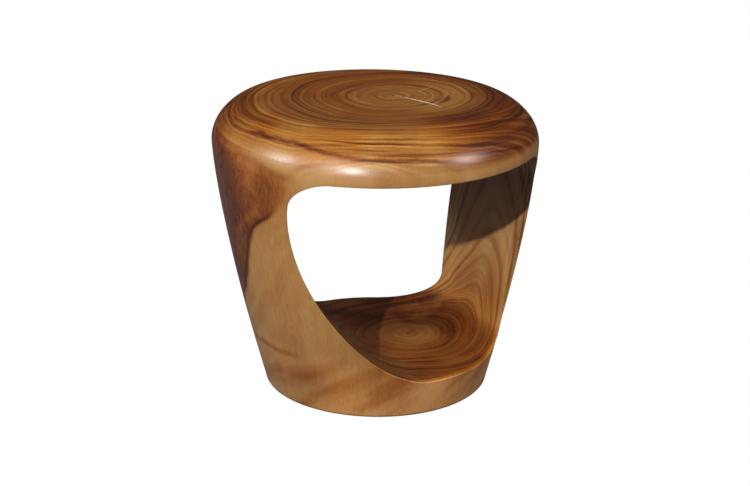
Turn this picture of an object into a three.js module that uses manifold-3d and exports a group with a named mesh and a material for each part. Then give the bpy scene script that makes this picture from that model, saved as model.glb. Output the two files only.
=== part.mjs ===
// A carved stump stool: one block of trunk wood, turned and tapered by hand, with a large opening
// carved straight through it from front to back. The open crack in the seat is filled flush, and the
// block stands on four nailed felt glides. Millimetres, +Z up, the opening runs along Y, front at -Y.
import * as THREE from "three";
import { mergeVertices } from "three/addons/utils/BufferGeometryUtils.js";
import Module from "manifold-3d";

const wasm = await Module();
wasm.setup();

// Overall form of the block
const seatHeight = 450; // floor to the flat of the seat
const seatRadius = 246; // mean radius at the widest height
const baseRadius = 171; // mean radius just above the bottom edge
const shoulderDrop = 63; // flat of the seat down to the widest section
const shoulderReach = 71; // widest section in to where the flat of the seat starts
const bottomEdgeRadius = 6; // sanded round under the base
const sideSweepPower = 1.36; // 1 is a straight cone, more bellies the side
const shoulderPower = 1.9; // 2 is a true quarter ellipse

// How far the hand-shaped plan leaves a circle, as shares of the radius
const seatOvalShare = 0.031;
const baseOvalShare = 0.015;
const eggShare = 0.0084;
const ovalTurn = THREE.MathUtils.degToRad(107); // direction of the long axis of the plan
const eggTurn = THREE.MathUtils.degToRad(3); // direction of the blunt lobe

// The carved opening, as seen from the front. The wood left round it is what is set here.
const seatThickness = 67.5; // flat of the seat down to the ceiling of the opening
const shelfHeight = 63; // floor up to the shelf at the bottom of the opening
const leftWall = 37.5; // thickness where the left wall is straight
const upperLeftRadius = 40;
const leftStraight = 3; // below this much straight wall the left side sweeps in
const leftSweepEnd = 1; // and has run out into the shelf this far right of the middle
const leftSweepPower = 1.79;
const rightWallTop = 32.5; // thickness at the top of the leaning right wall
const rightWallFoot = 28.5; // thickness at its foot, where the lower corner starts
const upperRightRadius = 58;
const rightCornerReach = 84;
const rightCornerHeight = 56;
const rightCornerPower = 2.35;
const rimEase = 3; // how far the sanded round reaches from the sharp rim

// Drying cracks in the seat, open when carved and filled flush
const heartX = 37; // where the long crack starts, at the heart of the trunk
const heartY = -13;
const longCrack = { length: 94, width: 2.1, depth: 12, turn: -73, bend: 2.5 };
const shortCrackX = 70;
const shortCrackY = 1.5;
const shortCrack = { length: 54, width: 1.6, depth: 7, turn: 27, bend: -1.5 };
const fillGap = 0.3; // fill to the wall of its crack

// Nailed felt glides under the base
const glideStandoff = 5; // floor to the underside of the wood
const glideInset = 49; // edge of the base in to the middle of a glide
const glideRadius = 13;
const cupRimHeight = 1.5; // floor to the lower edge of the cup
const cupWall = 1.6;
const feltThickness = 3;
const feltGap = 0.3; // felt to the wall of its cup
const nailHeadRadius = 3.6;
const nailHeadThickness = 1;
const nailRadius = 1;
const nailLength = 18; // from under the head to the tip
const nailTipLength = 3;
const nailGap = 0.3; // nail to the cup and to its hole in the wood

const blankFacets = 104;
const sideRings = 15;
const shoulderRings = 12;
const edgeRings = 3;
const cornerSteps = 9;
const sweepSteps = 22;
const easeSteps = 3;
const longestStep = 24; // straight stretches of the opening are cut up, so that the rim follows the block
const roundFacets = 32;
const nailFacets = 12;
const crackSteps = 14;
const faceSteps = 14; // rounds of closing in on the block's face
const overrun = 20; // how far a cutter runs past what it cuts

const widestHeight = seatHeight - shoulderDrop;
const seatFlatRadius = seatRadius - shoulderReach;
const ceilingHeight = seatHeight - seatThickness;
const glideCircleRadius = baseRadius - glideInset;

// Mean radius of the block at a height, from the top of the bottom edge to the seat
function radiusAt(height) {
  if (height <= widestHeight) {
    const below = (widestHeight - height) / (widestHeight - glideStandoff);
    return seatRadius - (seatRadius - baseRadius) * Math.min(below, 1) ** sideSweepPower;
  }
  const above = Math.min((height - widestHeight) / (seatHeight - widestHeight), 1);
  const roll = (1 - above ** shoulderPower) ** (1 / shoulderPower);
  return seatFlatRadius + (seatRadius - seatFlatRadius) * roll;
}

// Plan shape of the block at a height: 1 is a circle of the mean radius
function planShareAt(angle, height) {
  const up = (height - glideStandoff) / (seatHeight - glideStandoff);
  const oval = up * seatOvalShare + (1 - up) * baseOvalShare;
  return 1 + oval * Math.cos(2 * (angle - ovalTurn)) + up * eggShare * Math.cos(3 * (angle - eggTurn));
}

// Distance from the middle of the block to its face, in a direction and at a height
function reachAt(angle, height) {
  return radiusAt(height) * planShareAt(angle, height);
}

// Distance from the middle plane to the face of the block, at a width and height, front or back
function faceDistanceAt(x, z, side) {
  let y = side * Math.sqrt(Math.max(radiusAt(z) ** 2 - x ** 2, 0));
  for (let turn = 0; turn < faceSteps; turn++) {
    y = side * Math.sqrt(Math.max(reachAt(Math.atan2(y, x), z) ** 2 - x ** 2, 0));
  }
  return y;
}

function solidOf(geometry) {
  const bare = geometry.index ? geometry.toNonIndexed() : geometry;
  bare.deleteAttribute("normal");
  bare.deleteAttribute("uv");
  const merged = mergeVertices(bare);
  return new wasm.Manifold(new wasm.Mesh({
    numProp: 3,
    vertProperties: merged.attributes.position.array,
    triVerts: new Uint32Array(merged.index.array),
  }));
}

function geometryOf(solid) {
  const mesh = solid.getMesh();
  const geometry = new THREE.BufferGeometry();
  geometry.setAttribute("position", new THREE.BufferAttribute(mesh.vertProperties, 3));
  geometry.setIndex(new THREE.BufferAttribute(mesh.triVerts, 1));
  return geometry.toNonIndexed();
}

// A solid of revolution about Z, from a profile of radius and height
function revolved(profile, facets) {
  return new THREE.LatheGeometry(profile, facets).rotateX(Math.PI / 2);
}

// The turned block: bottom edge, bellied side, rolled shoulder and flat seat
function blankProfile() {
  const profile = [new THREE.Vector2(0, glideStandoff)];
  for (let i = 0; i < edgeRings; i++) {
    const around = (Math.PI / 2) * (i / edgeRings);
    const inset = bottomEdgeRadius * (1 - Math.sin(around));
    const rise = bottomEdgeRadius * (1 - Math.cos(around));
    profile.push(new THREE.Vector2(radiusAt(glideStandoff + rise) - inset, glideStandoff + rise));
  }
  const sideBottom = glideStandoff + bottomEdgeRadius;
  for (let i = 0; i < sideRings; i++) {
    const height = sideBottom + (widestHeight - sideBottom) * (i / sideRings);
    profile.push(new THREE.Vector2(radiusAt(height), height));
  }
  for (let i = 0; i <= shoulderRings; i++) {
    const around = (Math.PI / 2) * (i / shoulderRings);
    const out = Math.max(Math.cos(around), 0) ** (2 / shoulderPower);
    const up = Math.sin(around) ** (2 / shoulderPower);
    const radius = seatFlatRadius + (seatRadius - seatFlatRadius) * out;
    profile.push(new THREE.Vector2(radius, widestHeight + (seatHeight - widestHeight) * up));
  }
  profile.push(new THREE.Vector2(0, seatHeight));
  return profile;
}

function blank() {
  const geometry = revolved(blankProfile(), blankFacets);
  const place = geometry.attributes.position;
  for (let i = 0; i < place.count; i++) {
    const share = planShareAt(Math.atan2(place.getY(i), place.getX(i)), place.getZ(i));
    place.setX(i, place.getX(i) * share);
    place.setY(i, place.getY(i) * share);
  }
  return solidOf(geometry);
}

// One corner of the opening: a quarter of a rounded box, from one angle to the next
function corner(centreX, centreZ, reach, height, power, from, steps) {
  return Array.from({ length: steps + 1 }, (_, i) => {
    const around = from + (Math.PI / 2) * (i / steps);
    const c = Math.cos(around);
    const s = Math.sin(around);
    return new THREE.Vector2(
      centreX + reach * Math.sign(c) * Math.abs(c) ** (2 / power),
      centreZ + height * Math.sign(s) * Math.abs(s) ** (2 / power),
    );
  });
}

// Outline of the opening in X and Z, running counter-clockwise from the top of the right wall
function openingOutline() {
  const ru = upperRightRadius;
  const lu = upperLeftRadius;
  const wallTop = ceilingHeight - ru;
  const wallFoot = shelfHeight + rightCornerHeight;
  const sweepTop = ceilingHeight - lu - leftStraight;
  const topWidth = reachAt(0, wallTop) - rightWallTop;
  const footWidth = reachAt(0, wallFoot) - rightWallFoot;
  const leftWidth = reachAt(Math.PI, sweepTop) - leftWall;
  const lean = (topWidth - footWidth) / (wallTop - wallFoot);
  const upperRight = corner(topWidth - ru, wallTop, ru, ru, 2, 0, cornerSteps);
  const upperLeft = corner(lu - leftWidth, ceilingHeight - lu, lu, lu, 2, Math.PI / 2, cornerSteps);
  const leftSweep = corner(
    leftSweepEnd, sweepTop, leftSweepEnd + leftWidth, sweepTop - shelfHeight,
    leftSweepPower, Math.PI, sweepSteps,
  );
  const lowerRight = corner(
    footWidth - rightCornerReach, wallFoot, rightCornerReach, rightCornerHeight,
    rightCornerPower, (3 * Math.PI) / 2, cornerSteps,
  );
  for (const point of upperRight) {
    point.x += lean * (point.y - wallTop); // both right corners lean with the wall between them
  }
  for (const point of lowerRight) {
    point.x += lean * (point.y - wallFoot);
  }
  const points = [...upperRight, ...upperLeft, ...leftSweep, ...lowerRight];
  return points.flatMap((point, i) => {
    const next = points[(i + 1) % points.length];
    const cuts = Math.ceil(point.distanceTo(next) / longestStep);
    return Array.from({ length: cuts }, (_, k) => point.clone().lerp(next, k / cuts));
  });
}

function openingCutter(outline) {
  const depth = 2 * (seatRadius + overrun);
  const geometry = new THREE.ExtrudeGeometry(new THREE.Shape(outline), { depth, bevelEnabled: false });
  return solidOf(geometry.translate(0, 0, -depth / 2).rotateX(Math.PI / 2));
}

// A closed loop of sections, each a list of points, joined into one ring-shaped solid
function ringOf(sections) {
  const around = sections.length;
  const across = sections[0].length;
  const index = [];
  for (let i = 0; i < around; i++) {
    for (let k = 0; k < across; k++) {
      const a = i * across + k;
      const b = i * across + ((k + 1) % across);
      const c = ((i + 1) % around) * across + k;
      const d = ((i + 1) % around) * across + ((k + 1) % across);
      index.push(a, b, c, b, d, c);
    }
  }
  const geometry = new THREE.BufferGeometry().setFromPoints(sections.flat());
  geometry.setIndex(index);
  return geometry;
}

// What sanding takes off the sharp rim on one face: a loop that follows the rim, rounded on the wood's side
function rimCutter(outline, side) {
  const sections = outline.map((point, i) => {
    const before = outline[(i + outline.length - 1) % outline.length];
    const after = outline[(i + 1) % outline.length];
    const outward = new THREE.Vector2(after.y - before.y, before.x - after.x).normalize();
    const rim = new THREE.Vector3(point.x, faceDistanceAt(point.x, point.y, side), point.y);
    const onWall = rim.clone().setY(rim.y - side * rimEase);
    const beyond = point.clone().addScaledVector(outward, rimEase);
    const onFace = new THREE.Vector3(beyond.x, faceDistanceAt(beyond.x, beyond.y, side), beyond.y);
    onFace.sub(rim).setLength(rimEase).add(rim);
    const round = new THREE.QuadraticBezierCurve3(onWall, rim, onFace).getPoints(easeSteps);
    const outside = onFace.clone().setY(onFace.y + side * rimEase);
    const inAir = new THREE.Vector3(point.x, 0, point.y).addScaledVector(
      new THREE.Vector3(outward.x, 0, outward.y), -rimEase,
    );
    const airOut = inAir.clone().setY(outside.y);
    const airIn = inAir.clone().setY(onWall.y);
    const section = [...round, outside, airOut, airIn];
    return side > 0 ? section : section.reverse();
  });
  return solidOf(ringOf(sections));
}

// A crack or its fill: a thin, slightly bent sliver that tapers to a point at both ends. The fill starts
// where the crack is wide enough to leave the inset on both sides of it.
function sliver(crack, inset) {
  const start = Math.asin((2 * inset) / crack.width) / Math.PI;
  const lower = [];
  const upper = [];
  for (let i = 0; i <= crackSteps; i++) {
    const along = start + (1 - 2 * start) * (i / crackSteps);
    const rise = Math.sin(Math.PI * along);
    const halfWidth = (crack.width / 2) * rise - inset;
    lower.push(new THREE.Vector2(crack.length * along, crack.bend * rise - halfWidth));
    upper.push(new THREE.Vector2(crack.length * along, crack.bend * rise + halfWidth));
  }
  return [...lower, ...upper.slice(1, -1).reverse()];
}

function sliverSolid(crack, x, y, inset, top) {
  const depth = crack.depth - inset + top;
  const geometry = new THREE.ExtrudeGeometry(new THREE.Shape(sliver(crack, inset)), {
    depth, bevelEnabled: false,
  });
  geometry.rotateZ(THREE.MathUtils.degToRad(crack.turn));
  return geometry.translate(x, y, seatHeight + top - depth);
}

const glidePlaces = [
  { name: "front_left", angle: 225 },
  { name: "front_right", angle: 315 },
  { name: "rear_right", angle: 45 },
  { name: "rear_left", angle: 135 },
].map(({ name, angle }) => {
  const turn = THREE.MathUtils.degToRad(angle);
  return { name, x: glideCircleRadius * Math.cos(turn), y: glideCircleRadius * Math.sin(turn) };
});

// Holes that the glides' nails sit in
function nailHole(place) {
  const radius = nailRadius + nailGap;
  const height = nailLength + nailGap + overrun;
  const geometry = new THREE.CylinderGeometry(radius, radius, height, nailFacets).rotateX(Math.PI / 2);
  const top = feltThickness + nailHeadThickness + nailLength + nailGap;
  return solidOf(geometry.translate(place.x, place.y, top - height / 2));
}

function stumpBody() {
  const outline = openingOutline();
  const cutters = [
    openingCutter(outline),
    rimCutter(outline, -1),
    rimCutter(outline, 1),
    solidOf(sliverSolid(longCrack, heartX, heartY, 0, overrun)),
    solidOf(sliverSolid(shortCrack, shortCrackX, shortCrackY, 0, overrun)),
    ...glidePlaces.map(nailHole),
  ];
  return geometryOf(cutters.reduce((body, cutter) => body.subtract(cutter), blank()));
}

// A moulded cup, open below for the felt, with a counterbore for the nail's head
function glideCup() {
  const feltRoom = glideRadius - cupWall;
  const holeRadius = nailRadius + nailGap;
  const headRoom = nailHeadRadius + nailGap;
  const headSeat = feltThickness + nailHeadThickness;
  return revolved([
    new THREE.Vector2(holeRadius, headSeat),
    new THREE.Vector2(headRoom, headSeat),
    new THREE.Vector2(headRoom, feltThickness),
    new THREE.Vector2(feltRoom, feltThickness),
    new THREE.Vector2(feltRoom, cupRimHeight),
    new THREE.Vector2(glideRadius, cupRimHeight),
    new THREE.Vector2(glideRadius, glideStandoff - cupWall / 2),
    new THREE.Vector2(glideRadius - cupWall / 2, glideStandoff),
    new THREE.Vector2(holeRadius, glideStandoff),
    new THREE.Vector2(holeRadius, headSeat),
  ], roundFacets);
}

function glideFelt() {
  const radius = glideRadius - cupWall - feltGap;
  return new THREE.CylinderGeometry(radius, radius, feltThickness, roundFacets)
    .rotateX(Math.PI / 2)
    .translate(0, 0, feltThickness / 2);
}

function glideNail() {
  const underHead = feltThickness + nailHeadThickness;
  return revolved([
    new THREE.Vector2(0, feltThickness),
    new THREE.Vector2(nailHeadRadius, feltThickness),
    new THREE.Vector2(nailHeadRadius, underHead),
    new THREE.Vector2(nailRadius, underHead),
    new THREE.Vector2(nailRadius, underHead + nailLength - nailTipLength),
    new THREE.Vector2(0, underHead + nailLength),
  ], nailFacets);
}

const materials = {
  wood: new THREE.MeshStandardMaterial({ color: 0x9a6232, roughness: 0.4, metalness: 0 }),
  fill: new THREE.MeshStandardMaterial({ color: 0xd0a878, roughness: 0.6, metalness: 0 }),
  nylon: new THREE.MeshStandardMaterial({ color: 0x2a2421, roughness: 0.5, metalness: 0 }),
  felt: new THREE.MeshStandardMaterial({ color: 0x5b4636, roughness: 0.95, metalness: 0 }),
  steel: new THREE.MeshStandardMaterial({ color: 0xb4b4b0, roughness: 0.35, metalness: 1 }),
};

function piece(name, geometry, material) {
  const mesh = new THREE.Mesh(geometry, material);
  mesh.name = name;
  return mesh;
}

const body = piece("stump_body", stumpBody(), materials.wood);
const stool = new THREE.Group();
stool.add(
  body,
  piece("seat_crack_fill", sliverSolid(longCrack, heartX, heartY, fillGap, 0), materials.fill),
  piece("seat_hairline_fill", sliverSolid(shortCrack, shortCrackX, shortCrackY, fillGap, 0), materials.fill),
);
for (const place of glidePlaces) {
  const glide = new THREE.Group();
  glide.add(
    piece("glide_cup_" + place.name, glideCup(), materials.nylon),
    piece("glide_felt_" + place.name, glideFelt(), materials.felt),
    piece("glide_nail_" + place.name, glideNail(), materials.steel),
  );
  glide.position.set(place.x, place.y, 0);
  stool.add(glide);
}

// The origin is on the floor, under the middle of the block's outline
body.geometry.computeBoundingBox();
const middle = body.geometry.boundingBox.getCenter(new THREE.Vector3());
stool.position.set(-middle.x, -middle.y, 0);

export default stool;
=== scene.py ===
import math
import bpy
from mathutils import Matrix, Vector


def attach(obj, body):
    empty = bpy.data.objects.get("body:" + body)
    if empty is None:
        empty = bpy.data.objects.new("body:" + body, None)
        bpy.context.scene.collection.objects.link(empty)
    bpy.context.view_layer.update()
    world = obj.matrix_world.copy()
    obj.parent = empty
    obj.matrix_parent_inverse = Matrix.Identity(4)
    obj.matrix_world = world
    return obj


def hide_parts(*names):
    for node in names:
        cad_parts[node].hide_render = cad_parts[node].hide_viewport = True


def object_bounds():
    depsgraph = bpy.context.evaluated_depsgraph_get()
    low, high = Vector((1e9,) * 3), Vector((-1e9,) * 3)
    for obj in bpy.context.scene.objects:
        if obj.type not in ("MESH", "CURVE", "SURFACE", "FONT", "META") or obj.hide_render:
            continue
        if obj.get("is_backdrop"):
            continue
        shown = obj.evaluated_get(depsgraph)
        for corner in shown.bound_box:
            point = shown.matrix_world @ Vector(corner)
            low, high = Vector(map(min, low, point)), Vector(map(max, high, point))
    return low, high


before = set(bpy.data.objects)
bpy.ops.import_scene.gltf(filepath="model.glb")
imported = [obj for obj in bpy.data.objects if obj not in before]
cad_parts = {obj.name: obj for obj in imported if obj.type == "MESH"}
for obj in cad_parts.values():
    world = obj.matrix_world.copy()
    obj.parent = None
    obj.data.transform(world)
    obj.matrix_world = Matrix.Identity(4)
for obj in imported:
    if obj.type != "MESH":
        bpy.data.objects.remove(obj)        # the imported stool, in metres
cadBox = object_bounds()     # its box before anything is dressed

from types import SimpleNamespace

import bpy
import numpy as np
from mathutils import Vector

# A carved stump stool: one lacquered block with an opening through it, pale fill in its cracks,
# and nailed felt glides underneath. Front is -Y, the opening runs along Y.

stump = {
    "seatHeight": 0.450,        # floor to the flat of the seat
    "seatDrop": 0.0002,         # the lacquered seat lies this much below the crack fills
    "baseLift": 0.005,          # the glides' height
    "seatRadius": 0.246,        # at the widest height
    "baseRadius": 0.171,
    "shoulderDrop": 0.063,
    "shoulderReach": 0.071,
    "bottomEdge": 0.006,
    "sidePower": 1.36,
    "shoulderPower": 1.9,
    "seatOval": 0.031, "baseOval": 0.015, "ovalTurn": math.radians(107),
    "egg": 0.0084, "eggTurn": math.radians(3),
    "carveDepth": 0.0005,       # how deep the hollows left by hand sanding go
    "carveLength": 0.11,        # and how long they are
    "carveWaves": 7,
    "carveFadeTop": 0.02, "carveFadeFoot": 0.01,
    "slopeStep": 0.0002,        # how far apart a slope is measured
}

# The block's mesh, a grid that closes on itself both ways
grid = {
    "around": 420,              # steps round the opening
    "across": 232,              # and from its wall over the outside and back
    "fineAround": 3600, "fineAcross": 1600,      # finer steps, from which those are chosen
    "bendAround": 0.012, "bendAcross": 0.028,    # metres that a radian of bend counts for in that choice
    "smoothAround": 61, "smoothAcross": 11,      # fine steps over which a bend is smoothed
    "rimCrowding": 0.36,        # how much closer the fine steps are at the two rims
    "halvesAround": 26, "halvesAcross": 20,
    "clear": 0.6,               # this far from the middle of the wood is always outside
    "settle": 3,                # times that the points are moved on to the surface
}

opening = {
    "seatThickness": 0.0675,
    "shelfHeight": 0.063,
    "leftWall": 0.0375, "upperLeftRadius": 0.040, "leftStraight": 0.003,
    "leftSweepEnd": 0.001, "leftSweepPower": 1.79,
    "rightWallTop": 0.0325, "rightWallFoot": 0.0285, "upperRightRadius": 0.058,
    "rightCornerReach": 0.084, "rightCornerHeight": 0.056, "rightCornerPower": 2.35,
    "centreX": 0.0, "centreZ": 0.225,    # the grid turns round this line along Y
    "rimRound": 0.0025,
    "cornerSteps": 600, "outlineSteps": 6000,
}


# Radius of the side at a height: a bellied taper below the widest height, a rolled shoulder above it
def sideRadius(z):
    s = stump
    widest = s["seatHeight"] - s["shoulderDrop"]
    below = np.clip((widest - z) / (widest - s["baseLift"]), 0, 1)
    above = np.clip((z - widest) / s["shoulderDrop"], 0, 1)
    taper = s["seatRadius"] - (s["seatRadius"] - s["baseRadius"]) * below ** s["sidePower"]
    roll = (1 - above ** s["shoulderPower"]) ** (1 / s["shoulderPower"])
    return np.where(z <= widest, taper, s["seatRadius"] - s["shoulderReach"] * (1 - roll))


# The plan leaves a circle by an oval and an egg term, both stronger towards the seat
def planShare(angle, z):
    s = stump
    up = (z - s["baseLift"]) / (s["seatHeight"] - s["baseLift"])
    oval = (up * s["seatOval"] + (1 - up) * s["baseOval"]) * np.cos(2 * (angle - s["ovalTurn"]))
    return 1 + oval + up * s["egg"] * np.cos(3 * (angle - s["eggTurn"]))


# The outside's distance from the trunk's axis: the side's radius times the plan's share
def reachAt(angle, z):
    return sideRadius(z) * planShare(angle, z)


# The frame's origin is under the middle of the outline, the form's is on the trunk's axis
def widestMiddle(steps=2881):
    angles = np.linspace(-math.pi, math.pi, steps)
    reach = reachAt(angles, stump["seatHeight"] - stump["shoulderDrop"])
    x, y = reach * np.cos(angles), reach * np.sin(angles)
    return np.array([(x.max() + x.min()) / 2, (y.max() + y.min()) / 2])


# Two depths joined by a round: negative inside both, with the corner between them at the given radius
def roundJoin(a, b, radius):
    corner = np.hypot(np.maximum(a + radius, 0), np.maximum(b + radius, 0))
    return corner + np.minimum(np.maximum(a, b), -radius)


# Depth below the outside of the block, negative in the wood: side, flat seat and sanded bottom edge
def blankDepth(x, y, z):
    s = stump
    step = s["slopeStep"]
    angle = np.arctan2(y, x)
    heights = np.clip(z, s["baseLift"], s["seatHeight"] - step)
    share = planShare(angle, heights)
    slope = (sideRadius(heights + step / 2) - sideRadius(heights - step / 2)) * share / step
    side = (np.hypot(x, y) - sideRadius(heights) * share) / np.sqrt(1 + slope ** 2)
    lower = roundJoin(side, s["baseLift"] - z, s["bottomEdge"])
    return np.maximum(lower, z - (s["seatHeight"] - s["seatDrop"]))


# One rounded corner of the opening: a quarter of a superellipse
def quarter(centreX, centreZ, reach, height, power, start):
    turn = start + np.linspace(0, math.pi / 2, opening["cornerSteps"])
    c, s = np.cos(turn), np.sin(turn)
    return np.stack([
        centreX + reach * np.sign(c) * np.abs(c) ** (2 / power),
        centreZ + height * np.sign(s) * np.abs(s) ** (2 / power),
    ], axis=1)


# The opening seen from the front: four corners, the two on the right leaning with the wall between them
def openingOutline():
    o = opening
    ceiling = stump["seatHeight"] - o["seatThickness"]
    ru, lu = o["upperRightRadius"], o["upperLeftRadius"]
    wallTop, wallFoot = ceiling - ru, o["shelfHeight"] + o["rightCornerHeight"]
    sweepTop = ceiling - lu - o["leftStraight"]
    topWidth = reachAt(0.0, wallTop) - o["rightWallTop"]
    footWidth = reachAt(0.0, wallFoot) - o["rightWallFoot"]
    leftWidth = reachAt(math.pi, sweepTop) - o["leftWall"]
    lean = (topWidth - footWidth) / (wallTop - wallFoot)
    upperRight = quarter(topWidth - ru, wallTop, ru, ru, 2, 0)
    upperRight[:, 0] += lean * (upperRight[:, 1] - wallTop)
    upperLeft = quarter(lu - leftWidth, ceiling - lu, lu, lu, 2, math.pi / 2)
    sweepReach, sweepHeight = o["leftSweepEnd"] + leftWidth, sweepTop - o["shelfHeight"]
    sweep = quarter(o["leftSweepEnd"], sweepTop, sweepReach, sweepHeight, o["leftSweepPower"], math.pi)
    lowerRight = quarter(footWidth - o["rightCornerReach"], wallFoot, o["rightCornerReach"],
                         o["rightCornerHeight"], o["rightCornerPower"], 1.5 * math.pi)
    lowerRight[:, 0] += lean * (lowerRight[:, 1] - wallFoot)
    return np.concatenate([upperRight, upperLeft, sweep, lowerRight])


# The outline as a distance from the grid's centre at each angle, for np.interp, with its slope
def polarOutline():
    points = openingOutline()
    points = np.concatenate([points, points[:1]])
    legs = np.linalg.norm(np.diff(points, axis=0), axis=1)
    along = np.concatenate([[0], np.cumsum(legs)])
    even = np.linspace(0, along[-1], opening["outlineSteps"], endpoint=False)
    x = np.interp(even, along, points[:, 0]) - opening["centreX"]
    z = np.interp(even, along, points[:, 1]) - opening["centreZ"]
    angle, distance = np.unwrap(np.arctan2(z, x)), np.hypot(x, z)
    angles = np.concatenate([angle - 2 * math.pi, angle, angle + 2 * math.pi])
    distances = np.tile(distance, 3)
    return angles, distances, np.gradient(distances, angles) / distances


edgeAngles, edgeDistances, edgeSlopes = polarOutline()


# The opening's distance from the grid's centre at an angle
def openingReach(angle):
    return np.interp(angle, edgeAngles, edgeDistances)


# Depth behind the wall of the opening, negative in the wood
def openingDepth(x, z):
    dx, dz = x - opening["centreX"], z - opening["centreZ"]
    angle = np.arctan2(dz, dx)
    slope = np.interp(angle, edgeAngles, edgeSlopes)
    return (openingReach(angle) - np.hypot(dx, dz)) / np.sqrt(1 + slope ** 2)


# Shallow hollows left by hand sanding: a few crossed sine waves, none on the flat seat or underneath
def sandingHollows(x, y, z):
    s = stump
    rng = np.random.default_rng(7)
    ways = rng.normal(size=(s["carveWaves"], 3))
    ways *= (2 * math.pi / s["carveLength"]) / np.linalg.norm(ways, axis=1)[:, None]
    phases = rng.uniform(0, 2 * math.pi, s["carveWaves"])
    waves = sum(np.sin(w[0] * x + w[1] * y + w[2] * z + p) for w, p in zip(ways, phases)) / s["carveWaves"]
    fade = np.clip((s["seatHeight"] - z) / s["carveFadeTop"], 0, 1)
    fade = fade * np.clip((z - s["baseLift"]) / s["carveFadeFoot"], 0, 1)
    return s["carveDepth"] * (1 + waves) * fade


# Depth in the finished wood: the blank less the opening, with rounded rims, less the hollows
def woodDepth(x, y, z):
    joined = roundJoin(blankDepth(x, y, z), openingDepth(x, z), opening["rimRound"])
    return joined + sandingHollows(x, y, z)


# Where straight lines from inside the wood come out of it, by halving the interval
def halve(inside, outside, depthAt, steps):
    for _ in range(steps):
        middle = (inside + outside) / 2
        hollow = depthAt(middle) > 0
        outside = np.where(hollow, middle, outside)
        inside = np.where(hollow, inside, middle)
    return (inside + outside) / 2


# Places for grid lines along a curve, closer where it bends: equal shares of length plus weighted turning
def evenShares(weights, count):
    total = np.concatenate([np.zeros(weights.shape[:-1] + (1,)), np.cumsum(weights, axis=-1)], axis=-1)
    return total / total[..., -1:], np.arange(count) / count


# Length of each leg of closed curves, and the angle by which each turns into the next
def turning(points):
    legs = np.roll(points, -1, axis=-2) - points
    lengths = np.linalg.norm(legs, axis=-1)
    heading = np.arctan2(legs[..., 1], legs[..., 0])
    bend = np.abs((np.roll(heading, -1, axis=-1) - heading + math.pi) % (2 * math.pi) - math.pi)
    return lengths, bend


# The block as one closed grid: u turns round the opening, v runs in each half plane through the grid's
# centre line, along the opening's wall, round the rim, over the outside and back. Each point lies where a
# ray from the middle of the wood's thickness comes out, then the points are spread evenly along v.
def stumpGrid():
    g, o = grid, opening
    fine = np.linspace(-math.pi, math.pi, g["fineAround"], endpoint=False)

    def blankReach(angles):
        def depthAt(t):
            x, z = o["centreX"] + t * np.cos(angles), o["centreZ"] + t * np.sin(angles)
            return blankDepth(x, np.zeros_like(t), z)
        return halve(openingReach(angles), np.full_like(angles, g["clear"]), depthAt, g["halvesAround"])

    weights = 0
    kernel = np.hanning(g["smoothAround"]) / np.hanning(g["smoothAround"]).sum()
    for reach in (openingReach(fine), blankReach(fine)):
        lengths, bend = turning(np.stack([reach * np.cos(fine), reach * np.sin(fine)], axis=-1))
        smooth = np.convolve(np.tile(bend, 3), kernel, "same")[g["fineAround"]:2 * g["fineAround"]]
        weights = weights + lengths + g["bendAround"] * smooth
    total, want = evenShares(weights, g["around"])
    around = np.interp(want, total, np.append(fine, math.pi))

    core = (openingReach(around) + blankReach(around))[:, None] / 2
    cosU, sinU = np.cos(around)[:, None], np.sin(around)[:, None]
    turn = np.linspace(0, 2 * math.pi, g["fineAcross"], endpoint=False)[None, :]
    turn = math.pi + turn + g["rimCrowding"] * np.sin(2 * turn)
    cosV, sinV = np.cos(turn), np.sin(turn)

    def place(t):
        out = core + t * cosV
        return o["centreX"] + out * cosU, t * sinV + 0 * out, o["centreZ"] + out * sinU

    far = np.full((g["around"], g["fineAcross"]), g["clear"])
    t = halve(np.zeros_like(far), far, lambda t: woodDepth(*place(t)), g["halvesAcross"])
    lengths, bend = turning(np.stack([t * cosV, t * sinV], axis=-1))
    kernel = np.hanning(g["smoothAcross"]) / np.hanning(g["smoothAcross"]).sum()
    bend = sum(k * np.roll(bend, i - g["smoothAcross"] // 2, axis=1) for i, k in enumerate(kernel))
    total, want = evenShares(lengths + g["bendAcross"] * bend, g["across"])
    rows = np.arange(g["around"])[:, None]
    flat = np.interp((want + rows).ravel(), (total[:, :-1] + rows).ravel(), np.arange(t.size, dtype=float))
    first = np.floor(flat).astype(int)
    share = (flat - first)[:, None]
    last = first - first % t.shape[1] + (first + 1) % t.shape[1]
    points = np.stack(place(t), axis=-1).reshape(-1, 3)
    points = points[first] * (1 - share) + points[last] * share
    for _ in range(g["settle"]):
        points -= woodDepth(*points.T)[:, None] * outward(points)
    return points, outward(points)


# Unit slope of the depth, which is the direction out of the wood
def outward(points):
    step = stump["slopeStep"]
    slope = np.stack([
        woodDepth(*(points + step * axis).T) - woodDepth(*(points - step * axis).T) for axis in np.eye(3)
    ], axis=1)
    return slope / np.linalg.norm(slope, axis=1, keepdims=True)


# A new object in the scene
def addObject(name, data):
    piece = bpy.data.objects.new(name, data)
    bpy.context.scene.collection.objects.link(piece)
    return piece


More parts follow.
